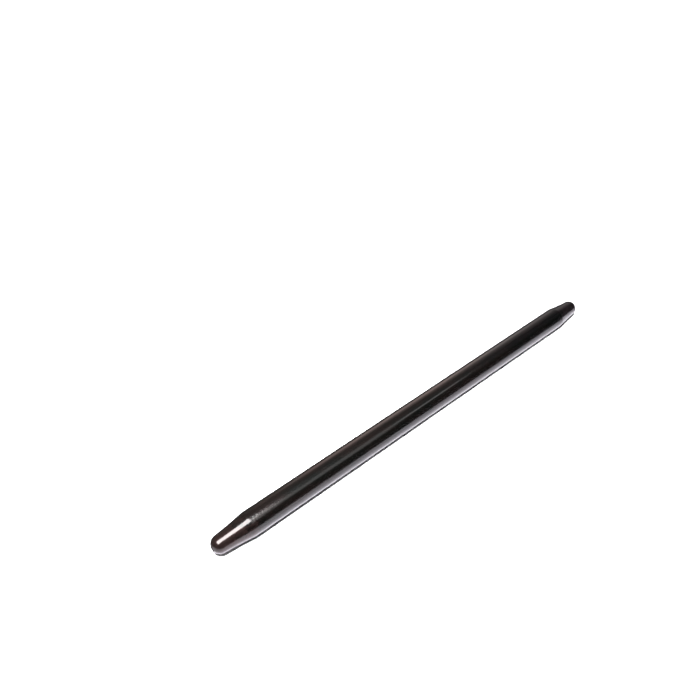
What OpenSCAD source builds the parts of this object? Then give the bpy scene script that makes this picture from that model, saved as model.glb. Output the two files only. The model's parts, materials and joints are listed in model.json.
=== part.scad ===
// Engine pushrod: one thick-walled steel tube, drawn down at both ends to ball tips with oil holes.
// The rod lies along X with its middle at the origin, and its two ends are alike.

/* [Tube] */
// Outside diameter of the parallel tube
tube_d = 11.11; // [9.5:0.01:14.3]
// Thickness of the tube's wall
wall = 3.18; // [2.4:0.01:3.8]
// Length over the poles of the two balls, with the oil holes still undrilled
over_balls = 235; // [150:0.5:320]

/* [Ball ends] */
// Diameter of each ball tip
ball_d = 7.94; // [6.5:0.01:9.5]
// Distance from a ball's pole back to the edge at which the parallel tube starts
end_len = 17; // [13:0.1:24]
// Radius of the slightly hollow flank that runs off the ball and out to that edge
flank_r = 150; // [80:1:400]
// Radius that rounds the edge between the flank and the tube
edge_r = 4; // [0.5:0.1:5]

/* [Oil way] */
// Diameter of the oil hole drilled through each ball
oil_d = 2.6; // [1.6:0.1:3.2]
// Distance from a ball's pole in to the place where the oil hole starts to widen
oil_len = 5; // [3:0.1:9]
// Width of the 45 degree bevel round the mouth of the oil hole
bevel = 0.2; // [0.1:0.05:0.6]

/* [Hidden] */
// Sides of each round surface on screen
$fn = 256;
// How far the flank is set into the ball and into the rounded edge, so that the surfaces cross cleanly
set_in = 0.003;

tube_r = tube_d / 2;
bore_r = tube_r - wall;
ball_r = ball_d / 2;
oil_r = oil_d / 2;

// Places on the half section are [distance from the axis, distance along it from the middle of the rod].
// The ball's pole and centre, and the corner of flank and tube before rounding
pole_z = over_balls / 2;
ball_c = [0, pole_z - ball_r];
corner = [tube_r, pole_z - end_len];

// The flank is an arc that runs off the ball and ends at the corner, with its centre outside the metal.
// That centre is where a circle about the ball's centre and one about the corner cross.
to_corner = corner - ball_c;
span = norm(to_corner);
ball_to_flank = flank_r + ball_r - set_in;
foot = (pow(ball_to_flank, 2) - pow(flank_r, 2) + pow(span, 2)) / (2 * span);
out = sqrt(pow(ball_to_flank, 2) - pow(foot, 2));
flank_c = ball_c + (foot * to_corner + out * [-to_corner[1], to_corner[0]]) / span;
ball_end = ball_c + ball_r * (flank_c - ball_c) / ball_to_flank;

// The rounded edge is an arc inside the metal that runs off the tube's outside and on to the flank.
edge_drop = flank_c[0] - (tube_r - edge_r);
edge_z = flank_c[1] - sqrt(pow(flank_r + edge_r, 2) - pow(edge_drop, 2)) + set_in;
edge_c = [tube_r - edge_r, edge_z];
flank_foot = edge_c + edge_r * (flank_c - edge_c) / norm(flank_c - edge_c);

// Mouth of the oil hole on the ball
mouth_r = oil_r + bevel;
mouth_z = ball_c[1] + sqrt(pow(ball_r, 2) - pow(mouth_r, 2));

// A place of the +X end, carried over to the end that is named by its side, 1 or -1
function at(p, side) = [p[0], side * p[1]];

// Half disc of the ball, on the outer side of the axis
module ball_section(side) {
    intersection() {
        translate(at(ball_c, side)) circle(r = ball_r);
        translate(at(ball_c, side) - [0, 2 * ball_r]) square([2 * ball_r, 4 * ball_r]);
    }
}

// Part of a disc that rounds the edge of the tube
module edge_section(side) {
    intersection() {
        translate(at(edge_c, side)) circle(r = edge_r);
        translate([bore_r, min(side * edge_z, side * (edge_z + edge_r))]) square([tube_r, edge_r]);
    }
}

// Half section with the oil way still closed: a bar with hollowed flanks, rounded edges and balls
module outer_section() {
    blank = [[0, ball_end[1]], [tube_r, ball_end[1]], flank_foot, [tube_r, edge_z]];
    difference() {
        polygon(concat([for (p = blank) at(p, -1)], [for (i = [len(blank) - 1:-1:0]) blank[i]]));
        for (side = [-1, 1]) translate(at(flank_c, side)) circle(r = flank_r);
    }
    for (side = [-1, 1]) {
        edge_section(side);
        ball_section(side);
    }
}

// Half section of the oil way: the bore draws in under each flank to a drilled hole with a bevelled mouth
module oil_section() {
    way = [
        [bore_r, corner[1]],
        [oil_r, pole_z - oil_len],
        [oil_r, mouth_z - bevel],
        [oil_r + ball_r, mouth_z - bevel + ball_r],
        [0, mouth_z - bevel + ball_r]
    ];
    polygon(concat([for (i = [len(way) - 1:-1:0]) at(way[i], -1)], way));
}

module pushrod() {
    color([0.12, 0.11, 0.11])
        rotate([0, 90, 0])
            rotate_extrude()
                difference() {
                    outer_section();
                    oil_section();
                }
}

pushrod();
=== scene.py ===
import json
import math

import bpy
import numpy as np
from mathutils import Matrix


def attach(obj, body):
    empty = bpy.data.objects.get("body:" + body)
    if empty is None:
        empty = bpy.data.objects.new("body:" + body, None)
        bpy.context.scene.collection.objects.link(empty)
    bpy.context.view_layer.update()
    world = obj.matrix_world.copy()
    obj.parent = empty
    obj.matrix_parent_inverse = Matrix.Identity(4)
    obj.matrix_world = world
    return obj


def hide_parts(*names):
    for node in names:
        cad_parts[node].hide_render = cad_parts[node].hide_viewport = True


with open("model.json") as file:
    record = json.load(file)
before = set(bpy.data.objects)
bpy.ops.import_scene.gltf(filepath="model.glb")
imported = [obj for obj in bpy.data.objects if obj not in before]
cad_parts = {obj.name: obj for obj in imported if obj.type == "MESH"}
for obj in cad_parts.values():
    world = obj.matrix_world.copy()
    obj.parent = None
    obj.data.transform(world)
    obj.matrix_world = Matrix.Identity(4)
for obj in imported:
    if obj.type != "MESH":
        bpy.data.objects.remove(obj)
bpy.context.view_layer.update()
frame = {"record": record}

# The rod is one length of thick-walled seamless steel tube. Both ends are drawn down and turned to a
# slightly hollow flank, ground to a ball, and drilled through to the bore for oil.
# The surface here is the solid's own section, turned round the axis in steps fine enough for reflections.
MM = 0.001
mounts = {mount["name"]: mount for mount in frame["record"]["mounts"]}
tube_radius = mounts["shank"]["dims"]["r_mm"] * MM
ball_radius = mounts["rocker_ball"]["dims"]["r_mm"] * MM
ball_place = mounts["rocker_ball"]["pos_m"][0]
oil_radius = mounts["rocker_oil_hole"]["dims"]["r_mm"] * MM
oil_length = mounts["rocker_oil_hole"]["dims"]["length_mm"] * MM
oil_place = mounts["rocker_oil_hole"]["pos_m"][0]
wall_thickness = 3.18 * MM
bore_radius = tube_radius - wall_thickness
bevel_width = 0.2 * MM
end_length = 17 * MM
flank_radius = 150 * MM
edge_radius = 4 * MM
steps_round = 256


def arc(centre, radius, start, stop, steps):
    """Places [along, out] on a circle about centre, from the place start round to the place stop:
    the bearing of each place goes evenly from that of start to that of stop."""
    bearing_start = np.arctan2(start[1] - centre[1], start[0] - centre[0])
    bearing_stop = np.arctan2(stop[1] - centre[1], stop[0] - centre[0])
    bearing = np.linspace(bearing_start, bearing_stop, steps + 1)
    return centre + radius * np.stack([np.cos(bearing), np.sin(bearing)], axis=1)


def line(start, stop, steps):
    """Places [along, out] spaced evenly on the straight line from start to stop."""
    share = np.linspace(0, 1, steps + 1)[:, None]
    return start + share * (np.array(stop) - np.array(start))


def end_section():
    """Stretches [along, out] of the section at the +X end, from the middle of the bore out through the
    oil hole, over the ball, along the flank and round the edge to the middle of the tube.
    The flank is an arc that runs off the ball and out to the corner, with its centre outside the metal,
    where a circle about the ball's centre and one about the corner cross.
    The edge is an arc that touches both the flank and the tube."""
    pole = ball_place + ball_radius
    ball_centre = np.array([ball_place, 0.0])
    corner = np.array([pole - end_length, tube_radius])
    to_corner = corner - ball_centre
    span = np.hypot(*to_corner)
    ball_to_flank = flank_radius + ball_radius
    foot = (ball_to_flank**2 - flank_radius**2 + span**2) / (2 * span)
    outward = np.array([to_corner[1], -to_corner[0]])
    reach = math.sqrt(ball_to_flank**2 - foot**2)
    flank_centre = ball_centre + (foot * to_corner + reach * outward) / span
    ball_end = ball_centre + ball_radius * (flank_centre - ball_centre) / ball_to_flank
    edge_out = tube_radius - edge_radius
    edge_back = math.sqrt((flank_radius + edge_radius) ** 2 - (flank_centre[1] - edge_out) ** 2)
    edge_centre = np.array([flank_centre[0] - edge_back, edge_out])
    flank_foot = edge_centre + edge_radius * (flank_centre - edge_centre) / (flank_radius + edge_radius)
    edge_end = edge_centre + np.array([0.0, edge_radius])
    mouth_radius = oil_radius + bevel_width
    mouth = np.array([ball_place + math.sqrt(ball_radius**2 - mouth_radius**2), mouth_radius])
    hole_outer = np.array([oil_place + oil_length / 2, oil_radius])
    hole_inner = np.array([oil_place - oil_length / 2, oil_radius])
    return [
        line([0.0, bore_radius], [corner[0], bore_radius], steps=12),
        line([corner[0], bore_radius], hole_inner, steps=6),
        line(hole_inner, hole_outer, steps=6),
        line(hole_outer, mouth, steps=2),
        arc(ball_centre, ball_radius, mouth, ball_end, steps=40),
        arc(flank_centre, flank_radius, ball_end, flank_foot, steps=24),
        arc(edge_centre, edge_radius, flank_foot, edge_end, steps=8),
        line(edge_end, [0.0, tube_radius], steps=32),
    ]


def closed_section():
    """The +X end's stretches, then the same stretches in reverse with their places along the axis negated,
    as one closed loop without doubled places, and the rings at its corners.
    Only the stretches of the oil way end in a corner: from the ball on they run into each other."""
    stretches = end_section()
    oil_way_stretches = 4
    creases = np.cumsum([len(stretch) - 1 for stretch in stretches[:oil_way_stretches]]).tolist()
    half = np.concatenate([stretch[:-1] for stretch in stretches])
    middle = stretches[-1][-1:]
    loop = np.concatenate([half, middle, half[:0:-1] * [-1, 1]])
    far_creases = [len(loop) - ring for ring in creases]
    return loop, creases + far_creases


def turned(section, creases, name):
    """Surface of a closed section [along, out] turned round the X axis: the place of ring i at turn j is
    (along_i, out_i cos turn_j, out_i sin turn_j), and the last ring and turn join the first.
    creases are the rings at which the surface has a corner."""
    rings = len(section)
    turn = np.arange(steps_round) * (2 * math.pi / steps_round)
    along = np.repeat(section[:, :1], steps_round, axis=1)
    across = section[:, 1:] * np.cos(turn)
    up = section[:, 1:] * np.sin(turn)
    places = np.stack([along, across, up], axis=2).reshape(-1, 3)
    ring, step = np.meshgrid(np.arange(rings), np.arange(steps_round), indexing="ij")
    next_ring, next_step = (ring + 1) % rings, (step + 1) % steps_round
    corners = [(ring, step), (ring, next_step), (next_ring, next_step), (next_ring, step)]
    faces = np.stack([r * steps_round + s for r, s in corners], axis=2).reshape(-1, len(corners))
    mesh = bpy.data.meshes.new(name)
    mesh.vertices.add(len(places))
    mesh.vertices.foreach_set("co", places.astype(np.float32).ravel())
    mesh.loops.add(faces.size)
    mesh.loops.foreach_set("vertex_index", faces.astype(np.int32).ravel())
    mesh.polygons.add(len(faces))
    mesh.polygons.foreach_set("loop_start", np.arange(0, faces.size, len(corners), dtype=np.int32))
    mesh.update(calc_edges=True)
    mesh.polygons.foreach_set("use_smooth", np.ones(len(faces), dtype=bool))
    ends = np.zeros(len(mesh.edges) * 2, dtype=np.int32)
    mesh.edges.foreach_get("vertices", ends)
    ring_of = ends.reshape(-1, 2) // steps_round
    sharp = (ring_of[:, 0] == ring_of[:, 1]) & np.isin(ring_of[:, 0], creases)
    mesh.attributes.new("sharp_edge", "BOOLEAN", "EDGE").data.foreach_set("value", sharp)
    mesh.validate()
    piece = bpy.data.objects.new(name, mesh)
    bpy.context.scene.collection.objects.link(piece)
    return piece


rod_section, rod_creases = closed_section()
rod = turned(rod_section, rod_creases, "drawn_rod")


def add_node(tree, kind, inputs, **options):
    """Adds a shader node with these options, its inputs set from values or from other nodes' outputs."""
    made = tree.nodes.new(kind)
    for option, value in options.items():
        setattr(made, option, value)
    for key, value in inputs.items():
        if isinstance(value, bpy.types.NodeSocket):
            tree.links.new(value, made.inputs[key])
        else:
            made.inputs[key].default_value = value
    return made


def combined(tree, operation, first, second=0.0):
    """Output of a Math node on two numbers or outputs."""
    return add_node(tree, "ShaderNodeMath", {0: first, 1: second}, operation=operation).outputs[0]


def ramp(tree, value, low, high, to_low=0.0, to_high=1.0):
    """Output that goes smoothly from to_low to to_high as value goes from low to high."""
    limits = {"Value": value, "From Min": low, "From Max": high, "To Min": to_low, "To Max": to_high}
    return add_node(tree, "ShaderNodeMapRange", limits, interpolation_type="SMOOTHSTEP").outputs["Result"]


def between(tree, share, first, second):
    """Number output that goes from first to second with share, by a Mix node's inputs 2 and 3."""
    return add_node(tree, "ShaderNodeMix", {0: share, 2: first, 3: second}, data_type="FLOAT").outputs[0]


def tinted(tree, share, first, second):
    """Colour output that goes from first to second with share, by a Mix node's inputs 6 and 7.
    Each of the two is a colour or another output."""
    first, second = [
        colour if isinstance(colour, bpy.types.NodeSocket) else (*colour, 1) for colour in (first, second)
    ]
    return add_node(tree, "ShaderNodeMix", {0: share, 6: first, 7: second}, data_type="RGBA").outputs[2]


def grain(tree, place, along, across, detail=2.0, shift=0.0):
    """Noise from 0 to 1 on the piece's own coordinates, with grains of these lengths along and across it,
    moved along it by shift grains."""
    stretch = (1 / along, 1 / across, 1 / across)
    moved = {"Vector": place, "Scale": stretch, "Location": (shift, 0, 0)}
    scaled = add_node(tree, "ShaderNodeMapping", moved)
    settings = {"Vector": scaled.outputs[0], "Scale": 1.0, "Detail": detail}
    return add_node(tree, "ShaderNodeTexNoise", settings).outputs[0]


def black_oxide():
    """Black oxide on steel under a film of oil. The tube keeps the fine lengthwise lines of the drawing die,
    and the ends have the finer lines of turning and grinding round them.
    Hardening has browned the ends, the lifter's more than the rocker's, up to a wandering edge that lies
    further in on the -Y side. The dies that drew the ends down have dimpled the tube up to its edge and a
    little past it."""
    finish = bpy.data.materials.new("black_oxide_steel")
    finish.use_nodes = True
    tree = finish.node_tree
    shader = tree.nodes["Principled BSDF"]
    place = add_node(tree, "ShaderNodeTexCoord", {}).outputs["Object"]
    parts = add_node(tree, "ShaderNodeSeparateXYZ", {0: place})
    from_middle = combined(tree, "ABSOLUTE", parts.outputs["X"])

    draw_lines = grain(tree, place, along=25 * MM, across=0.14 * MM)
    draw_streaks = grain(tree, place, along=60 * MM, across=0.7 * MM)
    turned_lines = grain(tree, place, along=0.12 * MM, across=11 * MM)
    oxide_grain = grain(tree, place, along=0.35 * MM, across=0.25 * MM, detail=3.0)
    blotches = grain(tree, place, along=17 * MM, across=6 * MM, detail=4.0)
    mottle = grain(tree, place, along=3.5 * MM, across=2.2 * MM, detail=3.0)
    dimples = grain(tree, place, along=0.8 * MM, across=0.9 * MM, shift=31.2)

    edge = ball_place + ball_radius - end_length
    ground_fade = 1 * MM
    ground = ramp(tree, from_middle, edge - ground_fade, edge + ground_fade)

    brown_starts = edge + 1 * MM
    brown_is_full = edge + 9 * MM
    brown_wander = 6 * MM
    brown_lean = -0.5
    wander = ramp(tree, mottle, low=0.2, high=0.8, to_low=-brown_wander, to_high=brown_wander)
    one_side = combined(tree, "MULTIPLY", parts.outputs["Y"], brown_lean)
    heated = combined(tree, "ADD", from_middle, combined(tree, "ADD", wander, one_side))
    browned = ramp(tree, heated, brown_starts, brown_is_full)

    dimples_start = edge - 32 * MM
    dimples_are_full = edge - 2 * MM
    dimples_end = edge + 3 * MM
    drawn_down = ramp(tree, from_middle, dimples_start, dimples_are_full)
    turned_off = ramp(tree, from_middle, edge, dimples_end, to_low=1.0, to_high=0.0)
    dimpled = combined(tree, "MULTIPLY", drawn_down, turned_off)

    tube_green_black = (0.0027, 0.0034, 0.0029)
    tube_brown_black = (0.0075, 0.0046, 0.0040)
    lifter_dark_brown = (0.0180, 0.0102, 0.0094)
    lifter_pale_brown = (0.0240, 0.0134, 0.0124)
    rocker_dark_brown = (0.0105, 0.0076, 0.0080)
    rocker_pale_brown = (0.0140, 0.0096, 0.0098)
    mottle_share = 0.3
    middle_reach = 50 * MM
    patch = ramp(tree, between(tree, mottle_share, blotches, mottle), low=0.37, high=0.67)
    tube_colour = tinted(tree, patch, tube_green_black, tube_brown_black)
    lifter_colour = tinted(tree, patch, lifter_dark_brown, lifter_pale_brown)
    rocker_colour = tinted(tree, patch, rocker_dark_brown, rocker_pale_brown)
    which_end = ramp(tree, parts.outputs["X"], -middle_reach, middle_reach)
    end_colour = tinted(tree, which_end, lifter_colour, rocker_colour)
    tree.links.new(tinted(tree, browned, tube_colour, end_colour), shader.inputs["Base Color"])

    tube_roughness = ramp(tree, draw_streaks, low=0.25, high=0.75, to_low=0.28, to_high=0.44)
    end_roughness = ramp(tree, turned_lines, low=0.2, high=0.8, to_low=0.26, to_high=0.38)
    tree.links.new(between(tree, ground, tube_roughness, end_roughness), shader.inputs["Roughness"])

    depth_unit = 0.004 * MM
    line_depth = 2.2
    streak_depth = 5.0
    turning_depth = 0.4
    pore_depth = 0.9
    dimple_depth = 5.0
    fine_lines = combined(tree, "MULTIPLY", draw_lines, line_depth)
    streaks = combined(tree, "MULTIPLY", draw_streaks, streak_depth)
    tube_relief = combined(tree, "ADD", fine_lines, streaks)
    end_relief = combined(tree, "MULTIPLY", turned_lines, turning_depth)
    pores = combined(tree, "MULTIPLY", oxide_grain, pore_depth)
    relief = combined(tree, "ADD", between(tree, ground, tube_relief, end_relief), pores)
    dent = ramp(tree, dimples, low=0.0, high=1.0, to_low=-dimple_depth, to_high=dimple_depth)
    height = combined(tree, "ADD", relief, combined(tree, "MULTIPLY", dent, dimpled))
    bump = add_node(tree, "ShaderNodeBump", {"Height": height, "Distance": depth_unit, "Strength": 1.0})
    tree.links.new(bump.outputs[0], shader.inputs["Normal"])
    tree.links.new(bump.outputs[0], shader.inputs["Coat Normal"])

    shader.inputs["Metallic"].default_value = 0.7
    shader.inputs["Specular IOR Level"].default_value = 0.24
    shader.inputs["Specular Tint"].default_value = (0.7, 0.68, 0.74, 1)
    shader.inputs["Coat Weight"].default_value = 1.0
    shader.inputs["Coat Roughness"].default_value = 0.09
    shader.inputs["Coat IOR"].default_value = 1.42
    return finish


rod.data.materials.append(black_oxide())
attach(rod, "root")
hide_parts("pushrod")

# The floor is a wide sheet of matt white board, lying level under the rod. The camera sees all of it white.
# In the rod's gloss only a strip along the rod is white, a painted reflection. Past the near tip that strip
# has painted shade, and beyond an edge on either side of the rod it is painted as dark as the room.
floor_reach = 12.0
floor_corners = [(-1, -1), (1, -1), (1, 1), (-1, 1)]
floor_places = [(x * floor_reach, y * floor_reach, -tube_radius) for x, y in floor_corners]
floor_mesh = bpy.data.meshes.new("floor")
floor_mesh.from_pydata(floor_places, [], [(0, 1, 2, 3)])
floor = bpy.data.objects.new("floor", floor_mesh)
bpy.context.scene.collection.objects.link(floor)


def white_board():
    """Matt white board, with a lift in brightness far from the rod that only the camera sees.
    For the gloss alone it shows a painted reflection: the strip along the rod, which turns to painted shade
    past the tip and to painted dark beyond each of its edges."""
    finish = bpy.data.materials.new("white_board")
    finish.use_nodes = True
    tree = finish.node_tree
    shader = tree.nodes["Principled BSDF"]
    place = add_node(tree, "ShaderNodeTexCoord", {}).outputs["Object"]
    parts = add_node(tree, "ShaderNodeSeparateXYZ", {0: place})
    ray = add_node(tree, "ShaderNodeLightPath", {})

    from_rod = add_node(tree, "ShaderNodeVectorMath", {0: place}, operation="LENGTH").outputs["Value"]
    far_off = ramp(tree, from_rod, low=0.1, high=0.5)
    lift = combined(tree, "MULTIPLY", far_off, ray.outputs["Is Camera Ray"])
    tree.links.new(lift, shader.inputs["Emission Strength"])
    shader.inputs["Emission Color"].default_value = (1, 1, 1, 1)

    seen_white = (0.86, 0.86, 0.86)
    # Gloss-only tones, a painted reflection: the strip's white, painted shade past the tip, painted dark
    # past its edges.
    strip_white = (0.855, 0.83, 0.885)
    strip_painted_shade = (0.60, 0.59, 0.625)
    painted_dark_front = (0.05, 0.05, 0.05)
    painted_dark_back = (0.06, 0.053, 0.051)
    past_tip = ramp(tree, parts.outputs["X"], low=-126 * MM, high=-116 * MM, to_low=1.0, to_high=0.0)
    near_edge = ramp(tree, parts.outputs["Y"], low=-60 * MM, high=-36 * MM, to_low=1.0, to_high=0.0)
    far_edge = ramp(tree, parts.outputs["Y"], low=8 * MM, high=14 * MM)
    strip = tinted(tree, past_tip, strip_white, strip_painted_shade)
    front = tinted(tree, near_edge, strip, painted_dark_front)
    mirrored = tinted(tree, far_edge, front, painted_dark_back)
    board = tinted(tree, ray.outputs["Is Glossy Ray"], seen_white, mirrored)
    tree.links.new(board, shader.inputs["Base Color"])
    shader.inputs["Roughness"].default_value = 0.9
    shader.inputs["Specular IOR Level"].default_value = 0.0
    return finish


floor_mesh.materials.append(white_board())

# The lights are a studio's soft panels. A small one high over the near end lights the floor.
# The rod's gloss shows a bright panel there with two dimmer rims, and further along the rod a wide dim panel
# and a narrow one.
near_end = -105 * MM
before_middle = -60 * MM
past_middle = 10 * MM


def bearing_from_rod(rise, lean):
    """Direction from the rod: rise is the angle up from the level towards -Y, seen along the rod, and lean
    is the angle by which it then goes from there towards -X, both in degrees."""
    up, over = math.radians(rise), math.radians(lean)
    return np.array([-math.sin(over), -math.cos(over) * math.cos(up), math.cos(over) * math.sin(up)])


def panel(name, aim, rise, lean, distance, along, across, radiance, mirrored):
    """Rectangular lamp, along by across in size, that faces the place aim on the rod's axis from a distance
    in the direction of rise and lean. Its power is pi times its area times the radiance that it shows.
    A mirrored panel is one that shows in the rod's gloss, and the others light the floor."""
    quarter_turn = 90
    back = bearing_from_rod(rise, lean)
    side = bearing_from_rod(rise, lean + quarter_turn)
    lamp = bpy.data.lights.new(name, "AREA")
    lamp.shape = "RECTANGLE"
    lamp.size = along
    lamp.size_y = across
    lamp.energy = math.pi * along * across * radiance
    matrix = np.eye(4)
    matrix[:3, :3] = np.stack([side, np.cross(back, side), back], axis=1)
    matrix[:3, 3] = np.array([aim, 0.0, 0.0]) + back * distance
    holder = bpy.data.objects.new(name, lamp)
    holder.matrix_world = Matrix(matrix)
    holder.visible_camera = False
    holder.visible_glossy = mirrored
    holder.visible_diffuse = not mirrored
    bpy.context.scene.collection.objects.link(holder)


panel("floor_panel", near_end, rise=74, lean=9, distance=0.65,
      along=0.102, across=0.102, radiance=457, mirrored=False)
panel("key_panel", near_end, rise=80.5, lean=13.5, distance=0.7,
      along=0.58, across=0.43, radiance=23.5, mirrored=True)
panel("key_rim", near_end, rise=73, lean=-11.1, distance=0.7,
      along=0.066, across=0.27, radiance=11, mirrored=True)
panel("low_rim", near_end, rise=53, lean=-10, distance=0.7,
      along=0.07, across=0.2, radiance=3.6, mirrored=True)
panel("wide_panel", before_middle, rise=62, lean=-21, distance=0.9,
      along=0.295, across=0.36, radiance=1.2, mirrored=True)
panel("narrow_panel", past_middle, rise=67, lean=-31.5, distance=0.9,
      along=0.15, across=0.16, radiance=2.2, mirrored=True)

# The room round the stage is dim, with a paler wall behind the rod that has a dark foot.
# Its tones show in the rod's gloss alone. The camera sees it white, as the floor is.


def dim_room():
    """Room whose brightness goes by direction. In front of the rod it is darkest, and overhead it is dim.
    The wall behind is dark at its foot. Along the rod it is brightest just above the foot and fades out
    upwards, and elsewhere it is dim and even. All of this falls off past the rod's far end.
    The floor gets a faint even light from the room, and the camera sees it white."""
    room = bpy.data.worlds.new("room")
    room.use_nodes = True
    tree = room.node_tree
    facing = add_node(tree, "ShaderNodeTexCoord", {}).outputs["Generated"]
    parts = add_node(tree, "ShaderNodeSeparateXYZ", {0: facing})
    ray = add_node(tree, "ShaderNodeLightPath", {})

    front_level = 0.06
    overhead_level = 0.15
    overhead_along_level = 0.22
    wall_level = 0.25
    wall_along_level = 2.0
    foot_share = 0.05
    far_end_share = 0.28
    floor_fill = 0.1
    seen_level = 1.0
    along_rod = ramp(tree, parts.outputs["X"], low=0.22, high=0.4)
    top_level = between(tree, along_rod, overhead_level, overhead_along_level)
    overhead = ramp(tree, parts.outputs["Y"], low=-0.6, high=-0.3, to_low=front_level, to_high=top_level)
    towards_wall = ramp(tree, parts.outputs["Y"], low=0.0, high=0.3)
    down_wall = ramp(tree, parts.outputs["Z"], low=0.3, high=0.84, to_low=wall_along_level, to_high=0.0)
    wall_foot = ramp(tree, parts.outputs["Z"], low=0.04, high=0.28, to_low=foot_share, to_high=1.0)
    lit_wall = combined(tree, "MULTIPLY", towards_wall, wall_foot)
    wall = combined(tree, "MULTIPLY", lit_wall, between(tree, along_rod, wall_level, down_wall))
    past_far_end = ramp(tree, parts.outputs["X"], low=0.55, high=0.76, to_low=1.0, to_high=far_end_share)
    gloss = combined(tree, "MULTIPLY", combined(tree, "ADD", wall, overhead), past_far_end)
    fill = between(tree, ray.outputs["Is Diffuse Ray"], gloss, floor_fill)
    seen = between(tree, ray.outputs["Is Camera Ray"], fill, seen_level)
    tree.links.new(seen, tree.nodes["Background"].inputs["Strength"])

    white = (1.0, 1.0, 1.0)
    fill_tint = (1.0, 0.94, 1.02)
    wall_brown = (1.0, 0.78, 0.72)
    wall_pink = (1.0, 0.90, 0.90)
    overhead_cream = (1.0, 0.98, 0.90)
    overhead_violet = (1.0, 0.86, 1.04)
    far_along = ramp(tree, parts.outputs["X"], low=0.55, high=0.68)
    wall_tint = tinted(tree, far_along, wall_brown, wall_pink)
    overhead_tint = tinted(tree, far_along, overhead_cream, overhead_violet)
    gloss_colour = tinted(tree, towards_wall, overhead_tint, wall_tint)
    fill_colour = tinted(tree, ray.outputs["Is Diffuse Ray"], white, fill_tint)
    colour = tinted(tree, ray.outputs["Is Glossy Ray"], fill_colour, gloss_colour)
    tree.links.new(colour, tree.nodes["Background"].inputs["Color"])
    return room


bpy.context.scene.world = dim_room()

# The camera stands off the near end, to one side of the rod, and looks down along it.
# Its lens, place and angles are fitted to a frame of 700 by 700.
camera_angles = (50.5062, 2.5605, -40.001)
camera_data = bpy.data.cameras.new("camera")
camera_data.lens = 31.498
camera_data.sensor_width = 36
camera_data.clip_start = 0.01
camera = bpy.data.objects.new("camera", camera_data)
camera.location = (-155.235 * MM, -142.702 * MM, 207.33 * MM)
camera.rotation_euler = [math.radians(angle) for angle in camera_angles]
bpy.context.scene.collection.objects.link(camera)
bpy.context.scene.camera = camera
bpy.context.scene.view_settings.view_transform = "Standard"
